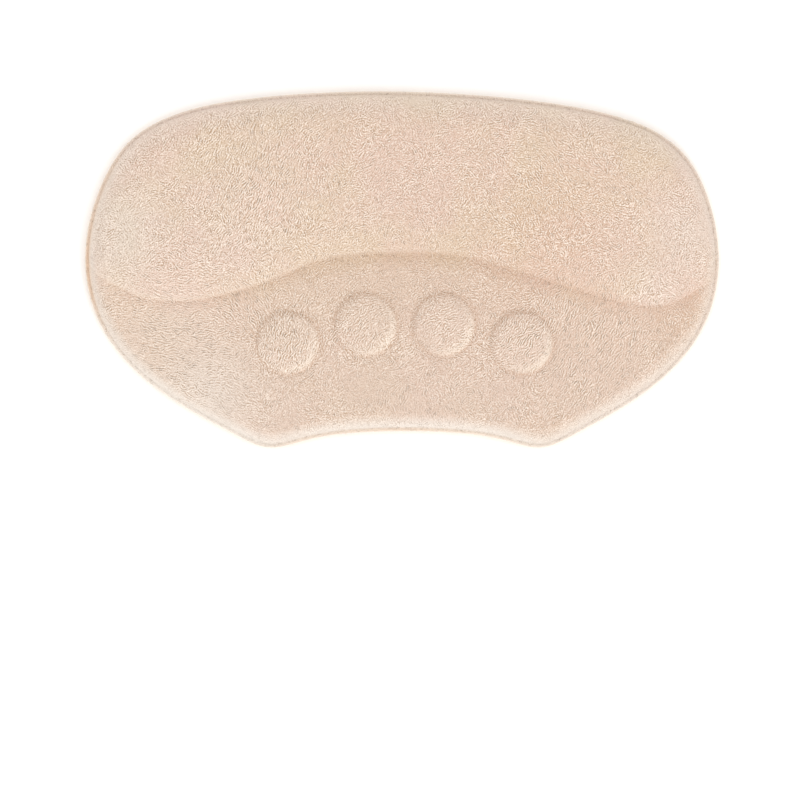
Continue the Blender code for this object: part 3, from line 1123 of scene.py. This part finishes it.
# Tints of the painted shade in the valleys and the painted highlights on the tips of the nap and
# fibres
NAP_VALLEY = (0.459, 0.309, 0.203)
NAP_TIP = (0.759, 0.653, 0.547)
FIBRE_DARK = (0.441, 0.296, 0.194)
FIBRE_LIGHT = (0.821, 0.707, 0.609)
LIP = (0.742, 0.653, 0.565)
# Tint of the painted light on the lip
LIP_PALE = (0.821, 0.759, 0.689)
# Tint of the tan lines, partly painted shade
LIP_TAN = (0.690, 0.470, 0.311)


def fibre_height(g, places, combed_way):
    """Height of the fibres, from 0 to 1: strands where combed, and matted elsewhere."""
    turn = g.times(g.math("ARCTAN2", g.attribute("up"), g.attribute("across")), 0.5)
    square = g.plus(turn, 1.571)
    cloth = g.warped(g.attribute("cloth", "Vector"), 1.3, 0.34)
    coarse = g.strokes(cloth, square, 1.40, 1.80, 0.92)
    fine = g.strokes(cloth, g.plus(square, 0.7), 1.7, 1.7, 0.3)
    grain = g.noise(places, 3.6, 1.0, 0.5, 0.3)
    strands = g.plus(g.plus(g.times(coarse, 0.58), g.times(fine, 0.20)), g.times(grain, 0.22))
    matted = g.plus(g.plus(g.times(coarse, 0.30), g.times(fine, 0.35)), g.times(grain, 0.35))
    blend = g.node("ShaderNodeMix", data_type="FLOAT")
    g.link(combed_way, blend.inputs[0])
    g.link(matted, blend.inputs[2])
    g.link(strands, blend.inputs[3])
    return blend.outputs[0]


def suede_ground(g, places):
    """Colour of the cloth under the fibres, with painted light on the rounded side, the bumps
    and the brink, and painted shade under the ledge and round the bumps.
    """
    blush = g.ramp(g.noise(places, 0.07, 2.0, 0.6), 0.35, 0.65)
    color = g.mix(0.20, g.mix(blush, SAND, PINK), BASE)
    faded = g.ramp(g.noise(places, 0.30, 3.0, 0.6), 0.40, 0.70, 0.0, 0.07)
    color = g.mix(faded, color, FADED)
    for name, share, tint in (
        ("hollow", 0.70, HOLLOW),
        ("rim", 0.85, SIDE_LIGHT_TINT),
        ("painted_highlight", 0.90, HIGHLIGHT_TINT),
        ("painted_shade", 0.36, CREASE_SHADE),
    ):
        color = g.mix(g.times(g.attribute(name), share), color, tint)
    return color


def fibre_tints(g, color, height, combed_way, lip):
    """The colour with painted shade in the valleys and painted highlights on the tips, of the
    nap and of single fibres.
    """
    nap = g.attribute("nap")
    color = g.mix(g.ramp(nap, -1.1, 0.1, 0.08, 0.0), color, NAP_VALLEY)
    marked = g.ramp(combed_way, 0.0, 1.0, 0.8, 1.6)
    tip = g.times(g.ramp(nap, 0.2, 1.2, 0.0, 0.12), marked)
    color = g.mix(tip, color, NAP_TIP)
    contrast = g.ramp(g.attribute("patch"), 0.0, PATCH_MOST, 0.30, 1.50, smooth=False)
    contrast = g.times(contrast, g.ramp(combed_way, 0.0, 1.0, 1.05, 0.90))
    contrast = g.times(contrast, g.ramp(lip, 0.0, 1.0, 1.0, 0.4))
    dark = g.times(g.ramp(height, 0.50, 0.38, 0.0, 0.9), contrast)
    light = g.times(g.ramp(height, 0.49, 0.60, 0.0, 1.1), contrast)
    return g.mix(light, g.mix(dark, color, FIBRE_DARK), FIBRE_LIGHT)


def suede_material():
    g = Graph("brushed_suede")
    places = g.places()
    lip = g.attribute("lip")
    combed_way = g.attribute("combed")
    height = fibre_height(g, places, combed_way)
    color = suede_ground(g, places)
    color = fibre_tints(g, color, height, combed_way, lip)
    color = g.mix(g.ramp(lip, 0.70, 1.0, 0.0, 0.50), color, LIP)
    # Painted light on the lip, then the tan lines, which are partly painted shade
    color = g.mix(g.times(g.attribute("pale_lip"), 0.40), color, LIP_PALE)
    color = g.mix(g.times(g.attribute("tan"), 0.75), color, LIP_TAN)
    rough = g.ramp(g.noise(places, 1.5, 2.0), 0.3, 0.7, 0.82, 1.0)
    g.shader.inputs["Specular IOR Level"].default_value = 0.2
    g.shader.inputs["Sheen Weight"].default_value = 0.15
    g.shader.inputs["Sheen Roughness"].default_value = 0.45
    g.shader.inputs["Sheen Tint"].default_value = (1.0, 0.93, 0.86, 1.0)
    return g.complete(color, rough, height, 0.00042)


def foam_material():
    g = Graph("cut_foam")
    places = g.places()
    cells = g.node("ShaderNodeTexVoronoi", feature="DISTANCE_TO_EDGE")
    cells.inputs["Scale"].default_value = 5.0
    g.link(places, cells.inputs["Vector"])
    wall = g.ramp(cells.outputs["Distance"], 0.0, 0.25)
    color = g.mix(wall, (0.814, 0.574, 0.389), (0.666, 0.416, 0.250))
    drift = g.ramp(g.noise(places, 0.15, 2.0), 0.35, 0.65)
    color = g.mix(g.times(drift, 0.4), color, (0.740, 0.463, 0.278))
    rough = g.ramp(g.noise(places, 3.0, 2.0), 0.3, 0.7, 0.75, 0.95)
    return g.complete(color, rough, wall, 0.00008)


def film_material():
    g = Graph("gold_film")
    places = g.places()
    drift = g.ramp(g.noise(places, 0.10, 3.0, 0.6), 0.3, 0.7)
    color = g.mix(drift, (0.574, 0.352, 0.102), (0.684, 0.463, 0.167))
    streak = g.noise(g.places((0.4, 0.4, 6.0)), 1.0, 3.0, 0.6)
    color = g.mix(g.ramp(streak, 0.5, 0.75, 0.0, 0.5), color, (0.416, 0.241, 0.065))
    rough = g.ramp(g.noise(places, 0.6, 3.0), 0.3, 0.7, 0.25, 0.5)
    waves = g.noise(places, 0.35, 4.0, 0.55, 0.6)
    return g.complete(color, rough, waves, 0.00025, 0.5)


def floor_material():
    g = Graph("pale_floor")
    grain = g.noise(g.places(), 0.02, 2.0)
    color = g.mix(g.ramp(grain, 0.3, 0.7), (0.965, 0.965, 0.965), (0.975, 0.975, 0.975))
    g.link(color, g.shader.inputs["Base Color"])
    g.shader.inputs["Roughness"].default_value = 0.9
    g.shader.inputs["Specular IOR Level"].default_value = 0.1
    return g.material


# Stage: floor, light and camera, in metres. A pixel has this width at the scaled height.

PIXEL = 0.0001656
PIXELS_ACROSS = 800
SENSOR_WIDTH = 36.0
CAMERA_HEIGHT = 1.6
SCALED_HEIGHT = 0.004
VIEW_CENTRE = (-0.00033, -0.02165)
FLOOR_HALF = 1.5
SKY_STRENGTH = 1.26
KEY_PLACE = (0.34, -0.68, 0.48)
KEY_SIZE = 0.36
KEY_POWER = 1.73


def make_floor():
    signs = ((-1, -1), (1, -1), (1, 1), (-1, 1))
    corners = [(FLOOR_HALF * i, FLOOR_HALF * j, 0.0) for i, j in signs]
    mesh = bpy.data.meshes.new("floor")
    mesh.from_pydata(corners, [], [(0, 1, 2, 3)])
    floor = bpy.data.objects.new("floor", mesh)
    bpy.context.scene.collection.objects.link(floor)
    mesh.materials.append(floor_material())


def make_key_light():
    """One soft round lamp from the lower right, aimed at the origin."""
    data = bpy.data.lights.new("key", "AREA")
    data.shape = "DISK"
    data.size = KEY_SIZE
    data.energy = KEY_POWER
    light = bpy.data.objects.new("key", data)
    bpy.context.scene.collection.objects.link(light)
    light.location = KEY_PLACE
    light.rotation_euler = (-Vector(KEY_PLACE)).to_track_quat("-Z", "Y").to_euler()


def make_stage():
    scene = bpy.context.scene
    scene.view_settings.view_transform = "Standard"
    scene.view_settings.look = "None"
    world = bpy.data.worlds.new("soft_studio")
    world.use_nodes = True
    sky = world.node_tree.nodes["Background"]
    sky.inputs["Color"].default_value = (1.0, 1.0, 1.0, 1.0)
    sky.inputs["Strength"].default_value = SKY_STRENGTH
    scene.world = world
    make_key_light()
    make_floor()
    data = bpy.data.cameras.new("camera")
    data.sensor_width = SENSOR_WIDTH
    data.lens = SENSOR_WIDTH * (CAMERA_HEIGHT - SCALED_HEIGHT) / (PIXELS_ACROSS * PIXEL)
    data.clip_end = 10.0
    camera = bpy.data.objects.new("camera", data)
    camera.location = (*VIEW_CENTRE, CAMERA_HEIGHT)
    scene.collection.objects.link(camera)
    scene.camera = camera


def main():
    cover, foam, film = make_cover(), make_foam(), make_film()
    dressed = [
        (cover, suede_material(), "fabric_cover", "suede_fabric"),
        (foam, foam_material(), "foam_core", "moulded_foam"),
        (film, film_material(), "adhesive_backing", "adhesive_sheet"),
    ]
    for piece, material, node, slot in dressed:
        piece.data.materials.append(material)
        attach(piece, "root")
        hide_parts(node)
    make_stage()


main()
